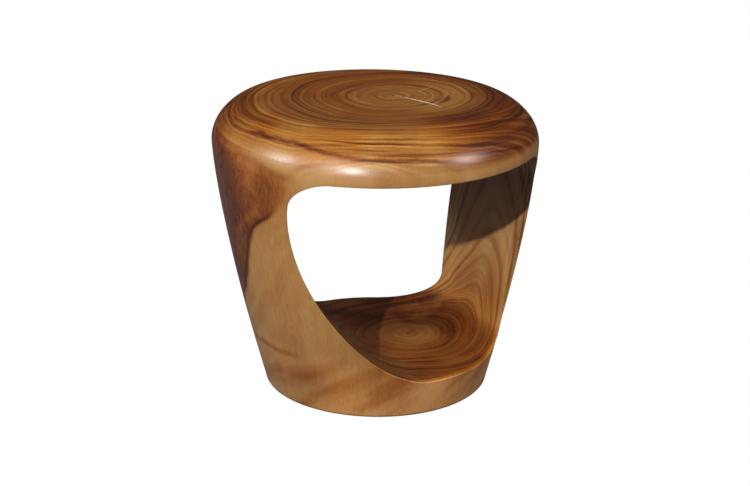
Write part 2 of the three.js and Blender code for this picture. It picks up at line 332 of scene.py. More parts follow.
# A mesh from a grid of points that closes on itself both ways, with the surface's own normals
def closedGridMesh(name, points, normals, across):
    around = len(points) // across
    i, k = np.meshgrid(np.arange(around), np.arange(across), indexing="ij")
    nextI, nextK = (i + 1) % around, (k + 1) % across
    corners = [(i, k), (i, nextK), (nextI, nextK), (nextI, k)]
    faces = np.stack([row * across + column for row, column in corners], axis=-1).reshape(-1, 4)
    first, second, third, fourth = points[faces].transpose(1, 0, 2)
    if (np.cross(third - first, fourth - second) * normals[faces[:, 0]]).sum() < 0:
        faces = faces[:, ::-1]
    mesh = bpy.data.meshes.new(name)
    mesh.from_pydata(points.tolist(), [], faces.tolist())
    mesh.polygons.foreach_set("use_smooth", np.ones(len(faces), dtype=bool))
    mesh.normals_split_custom_set_from_vertices(normals.tolist())
    mesh.update()
    return addObject(name, mesh)


print("stump: shaping the block")
stumpPoints, stumpNormals = stumpGrid()
stumpPoints[:, :2] -= widestMiddle()
stumpSkin = closedGridMesh("stump_skin", stumpPoints, stumpNormals, grid["across"])
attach(stumpSkin, "root")
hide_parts("stump_body")
print("stump:", len(stumpSkin.data.polygons), "faces")
print("stump: box", stumpPoints.min(0).round(4), stumpPoints.max(0).round(4))


# Sums and products on node outputs, so that a pattern reads like its formula
class Field:
    def __init__(self, tree, socket):
        self.tree, self.socket = tree, socket

    def calc(self, operation, *others):
        made = self.tree.nodes.new("ShaderNodeMath")
        made.operation = operation
        for socket, value in zip(made.inputs, (self, *others)):
            feed(self.tree, socket, value)
        return Field(self.tree, made.outputs[0])

    def __add__(self, other):
        return self.calc("ADD", other)

    def __sub__(self, other):
        return self.calc("SUBTRACT", other)

    def __mul__(self, other):
        return self.calc("MULTIPLY", other)

    def __truediv__(self, other):
        return self.calc("DIVIDE", other)

    __radd__, __rmul__ = __add__, __mul__

    def __rsub__(self, other):
        return self * -1 + other

    def size(self):
        return self.calc("ABSOLUTE")

    # 0 below low, 1 above high, an S curve between; high may be the smaller one
    def between(self, low, high):
        made = self.tree.nodes.new("ShaderNodeMapRange")
        made.interpolation_type = "SMOOTHSTEP"
        for name, value in (("Value", self), ("From Min", low), ("From Max", high)):
            feed(self.tree, made.inputs[name], value)
        return Field(self.tree, made.outputs["Result"])

    # Rises from 0 to 1 between the first two places, and falls back between the last two
    def band(self, rise, full, fade, end):
        return self.between(rise, full) * self.between(end, fade)

    # A straight line: the slope times the value, plus the base
    def line(self, slope, base):
        return self * slope + base

    # 1 at the middle, 0 further away than the reach
    def near(self, middle, reach):
        return (self - middle).size().between(reach, 0)

    # The value of a curve through the given (place, value) stops
    def curve(self, stops, kind="EASE"):
        return Field(self.tree, ramp(self, [(at, (v, v, v)) for at, v in stops], kind))


# An input may be a number, a colour, a vector, a socket or a field
def feed(tree, socket, value):
    if isinstance(value, Field):
        value = value.socket
    if isinstance(value, bpy.types.NodeSocket):
        tree.links.new(value, socket)
    else:
        socket.default_value = value


# The colour that a list of (place, colour) stops gives at the field's value
def ramp(field, stops, kind="LINEAR"):
    made = field.tree.nodes.new("ShaderNodeValToRGB")
    made.color_ramp.interpolation = kind
    points = made.color_ramp.elements
    while len(points) < len(stops):
        points.new(0.5)
    for point, (place, _) in zip(points, stops):
        point.position = place
    for point, (_, colour) in zip(points, stops):
        point.color = (*colour, 1)
    feed(field.tree, made.inputs["Fac"], field)
    return made.outputs["Color"]


# A vector from three numbers or fields
def joinVector(tree, x, y, z):
    made = tree.nodes.new("ShaderNodeCombineXYZ")
    for socket, value in zip(made.inputs, (x, y, z)):
        feed(tree, socket, value)
    return made.outputs[0]


# The three fields of a vector
def splitVector(tree, vector):
    made = tree.nodes.new("ShaderNodeSeparateXYZ")
    feed(tree, made.inputs[0], vector)
    return [Field(tree, out) for out in made.outputs]


# Cloudy noise from 0 to 1, about 0.5 on average, over a vector or, in one dimension, over a field
def noise(tree, place, scale, detail, roughness=0.5, distortion=0.0):
    made = tree.nodes.new("ShaderNodeTexNoise")
    socket = "Vector"
    if isinstance(place, Field):
        made.noise_dimensions, socket = "1D", "W"
    feed(tree, made.inputs[socket], place)
    settings = {"Scale": scale, "Detail": detail, "Roughness": roughness, "Distortion": distortion}
    for name, value in settings.items():
        made.inputs[name].default_value = value
    return Field(tree, made.outputs["Fac"])


# From the first colour to the second as the share goes from 0 to 1; a colour may be a tuple or a socket
def blendColour(tree, share, first, second, kind="MIX"):
    made = tree.nodes.new("ShaderNodeMix")
    made.data_type, made.blend_type = "RGBA", kind
    feed(tree, made.inputs["Factor"], share)
    feed(tree, made.inputs["A"], (*first, 1) if isinstance(first, tuple) else first)
    feed(tree, made.inputs["B"], (*second, 1) if isinstance(second, tuple) else second)
    return made.outputs["Result"]


# A new material, its node tree, its shader with the given sockets set, and the texture coordinates
def startMaterial(name, **settings):
    material = bpy.data.materials.new(name)
    material.use_nodes = True
    tree = material.node_tree
    shader = tree.nodes["Principled BSDF"]
    for key, value in settings.items():
        shader.inputs[key].default_value = value
    where = tree.nodes.new("ShaderNodeTexCoord")
    return material, tree, shader, where


# Tilts the shading as if the surface rose by the height times the distance
def addBump(tree, shader, height, distance, strength=1.0):
    bump = tree.nodes.new("ShaderNodeBump")
    bump.inputs["Strength"].default_value = strength
    bump.inputs["Distance"].default_value = distance
    feed(tree, bump.inputs["Height"], height)
    tree.links.new(bump.outputs["Normal"], shader.inputs["Normal"])


# Lacquered trunk wood, as one solid pattern. Rings stand round a leaning pith; their tone comes from the
# distance to it, bent by slow noise. Tones run from 0, dark, to 1, pale, and colours are linear.
# Two numbers are where a soft edge starts and where it is full, and four are a rise and then a fall. A name
# with Near holds a middle and how far round it, and one with Strength a slope and a base. Heights and
# reaches are in metres. Turns go round the trunk: 0.42 is its left, 0.92 its front and 1.42 its right.

# Each noise: the share of the height that counts, size per metre, detail, roughness, distortion
woodNoises = {
    "cloud": (0.5, 9.0, 2.0),
    "bend": (0.3, 7.0, 1.5),
    "ripple": (0.25, 24.0, 1.0),
    "patchy": (0.4, 14.0, 1.0),
    "curl": (0.55, 60.0, 2.0, 0.5, 2.2),
    "fibre": (0.035, 420.0, 3.0, 0.65),
    "pores": (0.03, 900.0, 1.0),
    "patchEdge": (0.4, 50.0, 1.0),
    "heart": (0.35, 11.0, 2.5, 0.55),
    "flecks": (0.0, 330.0, 1.0),
    "gloss": (1.0, 60.0, 2.0),
}


# Noise in object coordinates whose height is scaled down, so that the pattern is drawn out up the trunk
def woodNoise(at, kind):
    heightShare, *settings = woodNoises[kind]
    return noise(at.tree, joinVector(at.tree, at.x, at.y, at.z * heightShare), *settings)


trunk = {
    "pith": (0.029, -0.0025),    # the middle of the rings at the seat
    "pithLean": 0.069,    # it moves this far to the right per metre down
    "pithSway": 0.034, "swayHeights": (0.07, 0.20, 0.26, 0.42),    # halfway down it swings to the front
    "ringBend": 0.013, "bendReach": (0, 0.12),    # how far slow noise moves a ring
    "ringRipple": 0.004, "rippleReach": (0.03, 0.16),    # how far quick noise moves it
    "lowRipple": 1.2, "lowHeights": (0.16, 0.09),    # which is stronger near the shelf
    "ovalRings": 0.013, "ovalReach": (0.15, 0.21),    # outer rings are longer from side to side by this
    "facesUp": (0.55, 0.95),    # end grain shows where the surface faces up or down
    "startTurn": math.radians(165),    # so that the turns jump behind, on the right
    "barkRadius": [(0.01, 0.171), (0.22, 0.199), (0.45, 0.218), (0.86, 0.246)],    # by height share
    "sapDepth": (-0.014, -0.003),    # pale sapwood lies this deep under the sides
    "rimReach": (0.165, 0.205), "rimHeights": (0.392, 0.412),
    "shoulderPaleSheenHeights": (0.432, 0.415),
    "leftRimTurns": (0.05, 0.25, 0.44, 0.64),
    "bellyHeights": (0.355, 0.385), "bellyTurns": (0.45, 0.60, 1.0, 1.2),    # the front above the opening
}


# Where the shaded point lies: distance and way from the pith, and its ring, which is that distance bent
# by noise, with outer rings stretched into ovals
def trunkPlace(tree, where):
    t = trunk
    at = SimpleNamespace(tree=tree)
    at.x, at.y, at.z = splitVector(tree, where.outputs["Object"])
    normal = splitVector(tree, where.outputs["Normal"])
    at.sideways, at.upward = normal[0], normal[2].size()
    at.endGrain = at.upward.between(*t["facesUp"])
    at.heightShare = at.z / stump["seatHeight"]
    at.cloud = woodNoise(at, "cloud") - 0.5
    at.ripple = woodNoise(at, "ripple") - 0.5
    at.patchy = woodNoise(at, "patchy")
    at.curl = woodNoise(at, "curl")
    bend = splitVector(tree, woodNoise(at, "bend").socket.node.outputs["Color"])

    sway = at.z.band(*t["swayHeights"]) * t["pithSway"]
    at.fromX = at.x - ((stump["seatHeight"] - at.z) * t["pithLean"] + t["pith"][0])
    at.fromY = at.y - t["pith"][1] + sway
    squareX, squareY = at.fromX * at.fromX, at.fromY * at.fromY
    at.reach = (squareX + squareY).calc("SQRT")
    at.awayX, at.awayY = at.fromX / at.reach, at.fromY / at.reach
    broad = (squareX - squareY) / (squareX + squareY)
    at.low = at.z.between(*t["lowHeights"])
    rippled = at.reach.between(*t["rippleReach"]) + at.low * t["lowRipple"]
    at.ring = (at.reach + (bend[0] + bend[1] - 1.0) * at.reach.between(*t["bendReach"]) * t["ringBend"]
               + at.ripple * rippled * t["ringRipple"]
               - broad * at.reach.between(*t["ovalReach"]) * t["ovalRings"])
    return at


# The turn round the trunk, and the parts of the block, each 1 inside and 0 outside
def blockParts(at):
    t = trunk
    cosine, sine = math.cos(t["startTurn"]), math.sin(t["startTurn"])
    angle = (at.x * sine + at.y * cosine).calc("ARCTAN2", at.x * cosine - at.y * sine)
    at.turned = angle / math.pi + 0.5
    at.radial = (at.x * at.x + at.y * at.y).calc("SQRT")
    under = at.radial - at.heightShare.curve(t["barkRadius"], "LINEAR")
    rimFoot, rimFull = t["rimHeights"]
    at.sapwood = under.between(*t["sapDepth"]) * at.z.between(rimFull, rimFoot)
    at.calm = 1 - at.sapwood
    at.rim = at.radial.between(*t["rimReach"]) * at.z.between(rimFoot, rimFull)
    at.leftRim = at.rim * at.turned.band(*t["leftRimTurns"])
    at.belly = at.z.between(*t["bellyHeights"]) * at.sapwood * at.turned.band(*t["bellyTurns"])
    at.shelf = at.low * at.endGrain


rings = {
    # Rings per metre, about, then detail and roughness; the starts tell the two patterns apart
    "fine": (230.0, 2.0, 0.6), "fineStart": 3.7,
    "middling": (96.6, 1.5, 0.6), "middlingStart": 1.3,
    "fineStrength": (0.84, 0.26), "fineReach": (-0.01, 0.05),
    "middlingStrength": (0.48, 0.20), "middlingReach": (-0.01, 0.04), "middlingPatches": (0.35, 0.6),
    # The shelf's rings are softer, most of all in its eye
    "shelfCalmStrength": (0.30, 0.26), "shelfCalmReach": (0.10, 0.04),
    "endGrainGain": 0.18,
    "rimSlant": 0.11, "fallFrom": 0.40, "fall": 1.1, "rimRipple": 0.006,    # how veins run over the rim
    "flameSize": 60.0, "flameTurn": 0.7, "quickSize": 150.0,
    "flameStrength": (0.26, 0.30), "quickStrength": (0.12, 0.24),           # by the rim, then everywhere
    "veinQuick": (0.48, 0.32), "veinFlame": (0.60, 0.40),
    "veinHeights": (0.414, 0.430), "veinTurns": (0.76, 0.92), "rimVeins": 0.20,
    "veinReach": (0.06, 0.15), "outerVeins": 0.14, "veins": 0.03,
    # A long dark streak runs round the front of the rim, falling to the right (turn, height share)
    "streak": [(0.44, 0.953), (0.483, 0.960), (0.561, 0.9656), (0.65, 0.9507), (0.733, 0.9356),
               (0.828, 0.931), (0.894, 0.920), (0.96, 0.905)],
    "streakTurns": (0.45, 0.50, 0.90, 0.97), "streakWidth": 0.010, "streakRipple": 0.02,
    "streakStrength": (0.36, 0.20),
}


# Fine rings come and go round the pith; veins follow the rings too, but wander and taper
def ringLines(at):
    r = rings
    tree, rim, reach = at.tree, at.rim, at.reach
    fine = noise(tree, at.ring + r["fineStart"], *r["fine"]) - 0.5
    middling = noise(tree, at.ring + r["middlingStart"], *r["middling"]) - 0.5
    across = (at.ring * (1 - rim) + (at.radial - at.x * r["rimSlant"]) * rim
              - at.z.calc("MAXIMUM", r["fallFrom"]) * r["fall"] + at.ripple * rim * r["rimRipple"])
    wander = joinVector(tree, across * r["flameSize"], at.awayX * r["flameTurn"], at.awayY * r["flameTurn"])
    flame = noise(tree, wander, 1.0, 1.0)
    quick = noise(tree, joinVector(tree, across * r["quickSize"], at.awayX, at.awayY), 1.0, 2.0)
    veins = quick.between(*r["veinQuick"]) * flame.between(*r["veinFlame"])
    lines = fine * at.patchy.line(*r["fineStrength"]) * reach.between(*r["fineReach"])
    strength = at.patchy.between(*r["middlingPatches"]).line(*r["middlingStrength"])
    lines = lines + middling * strength * reach.between(*r["middlingReach"])
    lines = lines * (1 - at.shelf * reach.between(*r["shelfCalmReach"]).line(*r["shelfCalmStrength"]))
    lines = lines * (at.endGrain * (1 - rim) * r["endGrainGain"] + 1)
    lines = lines + (flame - 0.5) * rim.line(*r["flameStrength"])
    lines = lines + (quick - 0.5) * rim.line(*r["quickStrength"])
    onRim = rim * at.z.between(*r["veinHeights"]).calc("MAXIMUM", at.turned.between(*r["veinTurns"]))
    outer = reach.between(*r["veinReach"])
    lines = lines - veins * (onRim * r["rimVeins"] + outer * r["outerVeins"] + r["veins"])
    path = at.heightShare - at.turned.curve(r["streak"], "B_SPLINE") + at.ripple * r["streakRipple"]
    streak = path.near(0, r["streakWidth"]) * at.turned.band(*r["streakTurns"])
    return lines - streak * quick.line(*r["streakStrength"])


tones = {
    # By distance from the pith, as shares of toneReach: on end grain, then on the sides
    "toneReach": 0.30,
    "end": [(0.00, 0.50), (0.03, 0.60), (0.12, 0.60), (0.20, 0.55), (0.285, 0.54), (0.303, 0.34),
            (0.320, 0.53), (0.37, 0.45), (0.42, 0.52), (0.455, 0.50), (0.470, 0.40), (0.488, 0.18),
            (0.506, 0.40), (0.54, 0.52), (0.575, 0.55), (0.60, 0.42), (0.615, 0.54), (0.65, 0.54),
            (0.666, 0.36), (0.686, 0.20), (0.705, 0.48), (0.74, 0.68), (0.775, 0.60), (0.79, 0.34),
            (0.805, 0.62), (0.86, 0.66), (1.00, 0.60)],
    "side": [(0.00, 0.58), (0.12, 0.60), (0.22, 0.48), (0.33, 0.46), (0.375, 0.60), (0.405, 0.78),
             (0.430, 0.74), (0.437, 0.48), (0.444, 0.74), (0.455, 0.66), (0.463, 0.36), (0.474, 0.68),
             (0.50, 0.82), (0.53, 0.76), (0.538, 0.52), (0.548, 0.78), (0.575, 0.68), (0.583, 0.36),
             (0.60, 0.70), (0.63, 0.80), (0.66, 0.56), (0.675, 0.74), (0.76, 0.74), (1.00, 0.74)],
    "endShift": -0.03,
    "eyeReach": (0.125, 0.075), "eyeShare": 0.62, "eye": 0.31,      # the shelf's eye is more even
    "shelfCloudStrength": (0.30, 0.015),
    "rimShare": 0.7, "rim": 0.47, "rimTurns": (0.72, 0.50), "rimTurnDark": 0.08,
    # shoulder lightens the lower rim: paler wood in part, and in part a painted sheen round its highlights
    "shoulder": 0.10, "leftRimDark": 0.16,
    "sapwood": 0.61, "uprightScale": (70.0, 3.0), "upright": 0.15, "bellyUpright": 0.11, "sapCloud": 0.34,
    "linesInHeart": 0.80, "linesInSap": 0.20,
    "fibre": 0.30, "bellyFibre": 0.16, "poreNoise": (0.66, 0.74), "pores": 0.12, "cloud": 0.30,
}


# Tone of the plain wood: a curve over the rings in the heartwood, an even tone in the sapwood and at the
# rim, plus the ring lines
def plainTone(at):
    n = tones
    share = at.ring / n["toneReach"]
    nearEye = at.shelf * at.reach.between(*n["eyeReach"])
    end = share.curve(n["end"], "B_SPLINE") * (1 - nearEye * n["eyeShare"]) + nearEye * n["eye"]
    end = end + at.shelf * at.cloud.line(*n["shelfCloudStrength"]) + n["endShift"]
    tone = end * at.endGrain + share.curve(n["side"]) * (1 - at.endGrain)
    rim = n["rim"] - at.turned.between(*n["rimTurns"]) * n["rimTurnDark"]
    tone = tone * (1 - at.rim * n["rimShare"]) + at.rim * rim
    # The lower rim is lighter: paler wood in part, and in part a painted sheen where the rim's highlights lie
    shoulder = at.rim * at.z.between(*trunk["shoulderPaleSheenHeights"])
    tone = tone + shoulder * n["shoulder"] - at.leftRim * n["leftRimDark"]
    perTurn, perMetre = n["uprightScale"]
    drawn = joinVector(at.tree, at.turned * perTurn, at.z * perMetre, 0.0)
    upright = (noise(at.tree, drawn, 1.0, 3.0, 0.6) - 0.5) * (n["upright"] - at.belly * n["bellyUpright"])
    tone = tone * at.calm + at.sapwood * (upright + at.cloud.line(n["sapCloud"], n["sapwood"]))
    return tone + ringLines(at) * (at.calm * n["linesInHeart"] + n["linesInSap"])


# Fibres and pores run up the trunk, and slow clouds lie over all of it
def fibreTone(at, tone):
    n = tones
    at.fibre = woodNoise(at, "fibre") - 0.5
    at.pores = woodNoise(at, "pores").between(*n["poreNoise"])
    tone = tone + at.fibre * (n["fibre"] - at.belly * n["bellyFibre"])
    return tone - at.pores * n["pores"] + at.cloud * n["cloud"]


rightSide = {
    # Dark streaks follow the front edge of the right wall
    "edgeScale": (60.0, 170.0, 2.0), "edgeNoise": (0.53, 0.42),
    "edgeNear": (-0.112, 0.044), "edgeX": (0.13, 0.16), "edgeHeights": (0.10, 0.20, 0.38, 0.40),
    "edgeFaces": (0.45, -0.25), "edgeDark": 0.40, "edgePale": 0.07,
    # The rim darkens towards the right
    "way": (0.93, -0.36),
    "rimWay": (0.10, 0.55), "rimReach": (0.12, 0.17), "rimHeights": (0.395, 0.41),
    "rimDark": 0.37, "lowerRim": (0.437, 0.425), "lowerRimDark": 0.10,
    # The seat is paler between its rings and its right edge
    "seatWay": (0, 0.5), "seatNear": (0.095, 0.035), "seatHeights": (0.42, 0.44), "seatPale": 0.17,
    # The shelf darkens away from its eye, in clouds
    "shelfReach": (0.030, 0.060), "shelfWay": (-0.8, 0.5), "shelfStrength": (0.72, 0.47),
    "shelfPatches": (0.40, 0.60), "patchyStrength": (0.6, 0.55), "shelfCurl": 0.8,
    "shelfFront": (-0.3, -0.9), "shelfDarkStrength": (-0.09, 0.26),
    # Painted light: the right wall is paler in its middle, lit by the key; painted shade in the seat's shadow
    # above
    "wallX": (0.10, 0.14), "wallReach": (0.20, 0.16),
    "paintedShadeHeights": (0.22, 0.32), "paintedLightHeights": (0.10, 0.21),
    "wallDark": 0.02, "wallPaleStrength": (-0.36, 0.33), "bellyPale": 0.12,
}


# Tone of the right wall's front edge
def wallEdgeTone(at, tone):
    s = rightSide
    scaled = [place * scale for place, scale in zip((at.x, at.y, at.z), s["edgeScale"])]
    streaks = noise(at.tree, joinVector(at.tree, *scaled), 1.0, 2.0)
    edge = at.y.near(*s["edgeNear"]) * at.x.between(*s["edgeX"]) * at.z.band(*s["edgeHeights"])
    edge = edge * at.sideways.between(*s["edgeFaces"])
    at.edgeDark = edge * streaks.between(*s["edgeNoise"])
    return tone - at.edgeDark * s["edgeDark"] + edge * s["edgePale"]


# Tone of the rim, seat and shelf towards the right, and of the right wall, with painted light and shade on
# that wall
def rightSideTone(at, tone):
    s = rightSide
    towardsRight = at.awayX * s["way"][0] + at.awayY * s["way"][1]
    at.rightRim = (towardsRight.between(*s["rimWay"]) * at.reach.between(*s["rimReach"])
                   * at.z.between(*s["rimHeights"]))
    tone = tone - at.rightRim * at.z.between(*s["lowerRim"]).line(s["lowerRimDark"], s["rimDark"])
    at.shelfDark = (at.shelf * at.reach.between(*s["shelfReach"])
                    * at.awayX.between(*s["shelfWay"]).line(*s["shelfStrength"])
                    * (at.patchy.between(*s["shelfPatches"]).line(*s["patchyStrength"])
                       + (at.curl - 0.5) * s["shelfCurl"]))
    tone = tone - at.shelfDark * at.awayY.between(*s["shelfFront"]).line(*s["shelfDarkStrength"])
    # Painted light and shade on the right wall: paler where the key lights it, tinted where the seat's shadow
    # falls
    wall = (1 - at.endGrain) * at.calm * at.x.between(*s["wallX"]) * at.reach.between(*s["wallReach"])
    at.wallDark = wall * at.z.between(*s["paintedShadeHeights"])
    at.wallPale = wall * at.z.between(*s["paintedLightHeights"]) - at.wallDark
    seat = towardsRight.between(*s["seatWay"]) * at.reach.near(*s["seatNear"])
    seat = seat * at.z.between(*s["seatHeights"])
    tone = tone + at.wallDark * s["wallDark"] + seat * s["seatPale"]
    return tone + at.belly * s["bellyPale"] + at.wallPale * tone.line(*s["wallPaleStrength"])


# The dark figured patch on the left: its edge turns back as it goes down (height share, turn)
darkPatch = {
    "edge": [(0.22, 0.30), (0.356, 0.367), (0.404, 0.40), (0.484, 0.433), (0.576, 0.461), (0.644, 0.483),
             (0.68, 0.517), (0.716, 0.55), (0.778, 0.583), (0.867, 0.604)],
    "edgeCloud": 0.02, "edgeNoise": 0.010, "edgeSoft": (-0.020, 0.022),
    "topSlope": 0.12, "topRipple": 0.02, "topHeights": (0.416, 0.375), "reach": (0.13, 0.16),
    "backCloud": 0.30, "backSlope": 0.4, "backSoft": (-0.10, 0.10),
    "footCloud": 0.16, "footHeights": (0.08, 0.19),
    "outlineNear": (0.004, 0.012), "outlineHeights": (0.12, 0.20, 0.30, 0.345), "outlineDark": 0.46,
    "curls": 0.42, "curlNear": (0.55, 0.04), "curlLines": 0.10,
    "dark": 0.30, "lowHeights": (0.36, 0.26), "lowDark": 0.17,
    "backTurns": (0.50, 0.38), "backDark": 0.22, "mostDark": 0.19,
    "glowNear": (0.042, 0.028), "glowHeights": (0.20, 0.25, 0.31, 0.345), "glowPale": 0.12,
    "topLineNear": (0.396, 0.010), "topLineTurns": (0.44, 0.50, 0.58, 0.64), "topLineDark": 0.16,
}


# Tone of the patch: darker lower down and further back, mottled with curls, with a thin dark outline
def patchTone(at, tone):
    p = darkPatch
    edge = at.heightShare.curve(p["edge"], "B_SPLINE") + (woodNoise(at, "patchEdge") - 0.5) * p["edgeNoise"]
    inside = edge - at.turned + at.cloud * p["edgeCloud"]
    top = at.z - (0.5 - at.turned) * p["topSlope"] + at.ripple * p["topRipple"]
    back = at.turned + at.cloud * p["backCloud"] - at.z * p["backSlope"]
    at.patch = (inside.between(*p["edgeSoft"]) * top.between(*p["topHeights"]) * at.reach.between(*p["reach"])
                * back.between(*p["backSoft"])
                * (at.z + at.cloud * p["footCloud"]).between(*p["footHeights"]))
    outline = inside.near(*p["outlineNear"]) * at.z.band(*p["outlineHeights"])
    curls = (at.curl - 0.5) * p["curls"] + at.curl.near(*p["curlNear"]) * p["curlLines"]
    dark = at.z.between(*p["lowHeights"]) * p["lowDark"] + at.turned.between(*p["backTurns"]) * p["backDark"]
    glow = inside.near(*p["glowNear"]) * at.z.band(*p["glowHeights"])
    depth = dark.calc("MINIMUM", p["mostDark"]) - curls - glow * p["glowPale"] + p["dark"]
    topLine = top.near(*p["topLineNear"]) * at.turned.band(*p["topLineTurns"]) * at.sapwood
    return tone - at.patch * depth - outline * p["outlineDark"] - topLine * p["topLineDark"]


foot = {
    "heights": (0.125, 0.055), "turns": (-0.48, -0.20, 1.20, 1.48),    # the turn jumps behind, at its ends
    "slantScale": (24.0, -7.5, 3.0, 6.0),                # per metre up, per turn twice, and per metre of ring
    "slantNoise": (0.46, 0.36), "slantDark": 0.10, "slant": 0.55,
    "pale": 0.16, "frontTurns": (0.52, 0.72), "frontPale": 0.12,
    "stainSlope": 0.10, "stainCloud": 0.02, "stainNear": (-0.008, 0.034),
    "stainTurns": (0.15, 0.30, 0.60, 0.70), "stainDark": 0.13,
    "scarCloud": 0.03, "scarNear": (0.094, 0.008), "scarTurns": (0.24, 0.36, 0.52, 0.60), "scarDark": 0.26,
}


# Tone of the foot: slanting streaks all round, a broad stain and a scar on the left
def footTone(at, tone):
    f = foot
    up, slantTurn, roundTurn, inRing = f["slantScale"]
    streaks = joinVector(at.tree, at.z * up + at.turned * slantTurn, at.turned * roundTurn, at.ring * inRing)
    at.slant = noise(at.tree, streaks, 1.0, 1.5)
    at.foot = at.z.between(*f["heights"]) * at.sapwood * at.turned.band(*f["turns"])
    at.stain = (at.z - at.turned * f["stainSlope"] + at.cloud * f["stainCloud"]).near(*f["stainNear"])
    at.stain = at.stain * at.turned.band(*f["stainTurns"]) * at.sapwood
    scar = (at.z + at.cloud * f["scarCloud"]).near(*f["scarNear"])
    scar = scar * at.turned.band(*f["scarTurns"]) * at.sapwood
    streaked = (at.slant - 0.5) * f["slant"] - at.slant.between(*f["slantNoise"]) * f["slantDark"]
    pale = at.turned.between(*f["frontTurns"]).line(f["frontPale"], f["pale"])
    return tone + at.foot * (streaked + pale) - at.stain * f["stainDark"] - scar * f["scarDark"]


seatMarks = {
    "arcNear": (-0.80, 0.44), "arcRing": 0.0815, "arcWidthStrength": (0.009, 0.0003), "arcEnds": (0, 0.2),
    "arcHeights": (0.3, 0.4), "arcDark": 0.46,
    "pithReach": (0.006, 0.001), "pithDark": 0.25,
    "crackWay": (0.31, -0.95),                           # pale flecks lie along the start of the long crack
    "fleckNoise": (0.50, 0.57), "besideNear": (0.001, 0.006), "alongNear": (0.010, 0.022),
    "fleckHeights": (0.44, 0.449),
}


# Tone of the short dark arc on the seat, which swells in its middle, and of the pith; and the pale flecks
def seatMarksTone(at, tone):
    m = seatMarks
    swell = at.fromY.calc("ARCTAN2", at.fromX).near(*m["arcNear"])
    arc = at.ring.near(m["arcRing"], swell.line(*m["arcWidthStrength"])) * swell.between(*m["arcEnds"])
    arc = arc * at.z.between(*m["arcHeights"])
    wayX, wayY = m["crackWay"]
    along, beside = at.fromX * wayX + at.fromY * wayY, at.fromX * -wayY + at.fromY * wayX
    at.flecks = (woodNoise(at, "flecks").between(*m["fleckNoise"]) * beside.near(*m["besideNear"])
                 * along.near(*m["alongNear"]) * at.z.between(*m["fleckHeights"]))
    return tone - arc * m["arcDark"] - at.reach.between(*m["pithReach"]) * m["pithDark"]


colours = {
    "browns": [(0.00, (0.060, 0.015, 0.004)), (0.20, (0.120, 0.034, 0.007)), (0.40, (0.197, 0.069, 0.014)),
               (0.55, (0.263, 0.101, 0.021)), (0.70, (0.328, 0.143, 0.032)), (0.85, (0.398, 0.189, 0.047)),
               (1.00, (0.470, 0.240, 0.062))],
    "golds": [(0.00, (0.070, 0.018, 0.004)), (0.25, (0.142, 0.043, 0.007)), (0.50, (0.256, 0.101, 0.018)),
              (0.70, (0.343, 0.153, 0.029)), (0.85, (0.410, 0.195, 0.039)), (1.00, (0.480, 0.255, 0.062))],
    "tans": [(0.00, (0.045, 0.010, 0.002)), (0.30, (0.135, 0.040, 0.007)), (0.50, (0.225, 0.086, 0.019)),
             (0.70, (0.305, 0.146, 0.042)), (0.85, (0.380, 0.202, 0.069)), (1.00, (0.460, 0.268, 0.110))],
    "goldFaces": (0.40, 0.85),                           # golds where the surface faces up, tans on the sides
    "outerRing": (0.150, 0.200), "endGrainRing": -0.012, "patchBrown": 0.8,
    # What the colour is multiplied by in reddish heartwood, in the stain, on the front of the foot, as
    # painted light on the middle of the right wall and as painted shade on the same wall near the seat
    "tints": [(0.92, 0.71, 0.52), (0.92, 0.99, 1.34), (1.13, 0.97, 0.86), (1.14, 1.38, 2.05),
              (0.90, 0.97, 1.50)],
    "heartNoise": (0.42, 0.62), "heartReach": (0.03, 0.09), "heart": 0.8,
    "farHalf": (-0.02, 0.09), "farHeights": (0.42, 0.44), "far": 0.7,
    "leftRim": 0.5, "edgeDark": 0.6, "patch": 0.9, "rightRim": 0.9, "shelfDark": 0.4,
    "foot": 0.22, "footNoise": (0.50, 0.40), "footStreaks": 0.3,
    "stain": 0.8, "lowLeftHeights": (0.20, 0.06), "lowLeftTurns": (0.66, 0.50), "lowLeft": 0.6,
    "rosyTurns": (0.54, 0.70), "fleck": (0.60, 0.42, 0.26), "flecks": 0.8,
}


# Browns inside the trunk, golds and tans near its outside, then tinted part by part
def woodColour(at, tone):
    c = colours
    tree = at.tree
    golden = at.upward.between(*c["goldFaces"])
    outer = blendColour(tree, golden, ramp(tone, c["tans"]), ramp(tone, c["golds"]))
    outside = (at.ring + at.endGrain * c["endGrainRing"]).between(*c["outerRing"])
    outside = outside.calc("MAXIMUM", at.sapwood) * (1 - at.patch * c["patchBrown"])
    colour = blendColour(tree, outside, ramp(tone, c["browns"]), outer)

    red = woodNoise(at, "heart").between(*c["heartNoise"]) * at.reach.between(*c["heartReach"])
    red = red * at.calm * c["heart"]
    red = red + at.fromY.between(*c["farHalf"]) * at.z.between(*c["farHeights"]) * c["far"]
    for part in ("leftRim", "edgeDark", "patch", "rightRim", "shelfDark"):
        red = red + getattr(at, part) * c[part]
    red = red + at.foot * at.slant.between(*c["footNoise"]).line(c["footStreaks"], c["foot"])

    lowLeft = at.z.between(*c["lowLeftHeights"]) * at.turned.between(*c["lowLeftTurns"]) * at.sapwood
    grey = at.stain * c["stain"] + lowLeft * c["lowLeft"] * (1 - at.stain)
    rosy = at.foot * at.turned.between(*c["rosyTurns"])
    # The last two tints are painted light on the right wall's lit middle and painted shade in the seat's
    # shadow
    for share, tint in zip((red.calc("MINIMUM", 1.0), grey, rosy, at.wallPale, at.wallDark), c["tints"]):
        colour = blendColour(tree, share, colour, blendColour(tree, 1.0, colour, tint, "MULTIPLY"))
    return blendColour(tree, at.flecks * c["flecks"], colour, c["fleck"])


lacquer = {
    "sockets": {"IOR": 1.45, "Specular IOR Level": 0.1,
                "Coat Weight": 0.80, "Coat Roughness": 0.30, "Coat IOR": 1.45},
    "rough": 0.42, "roughNoise": 0.10, "roughPores": 0.12,
    "bumpFibre": 0.6, "bumpDistance": 0.00012, "bumpStrength": 0.35,
}


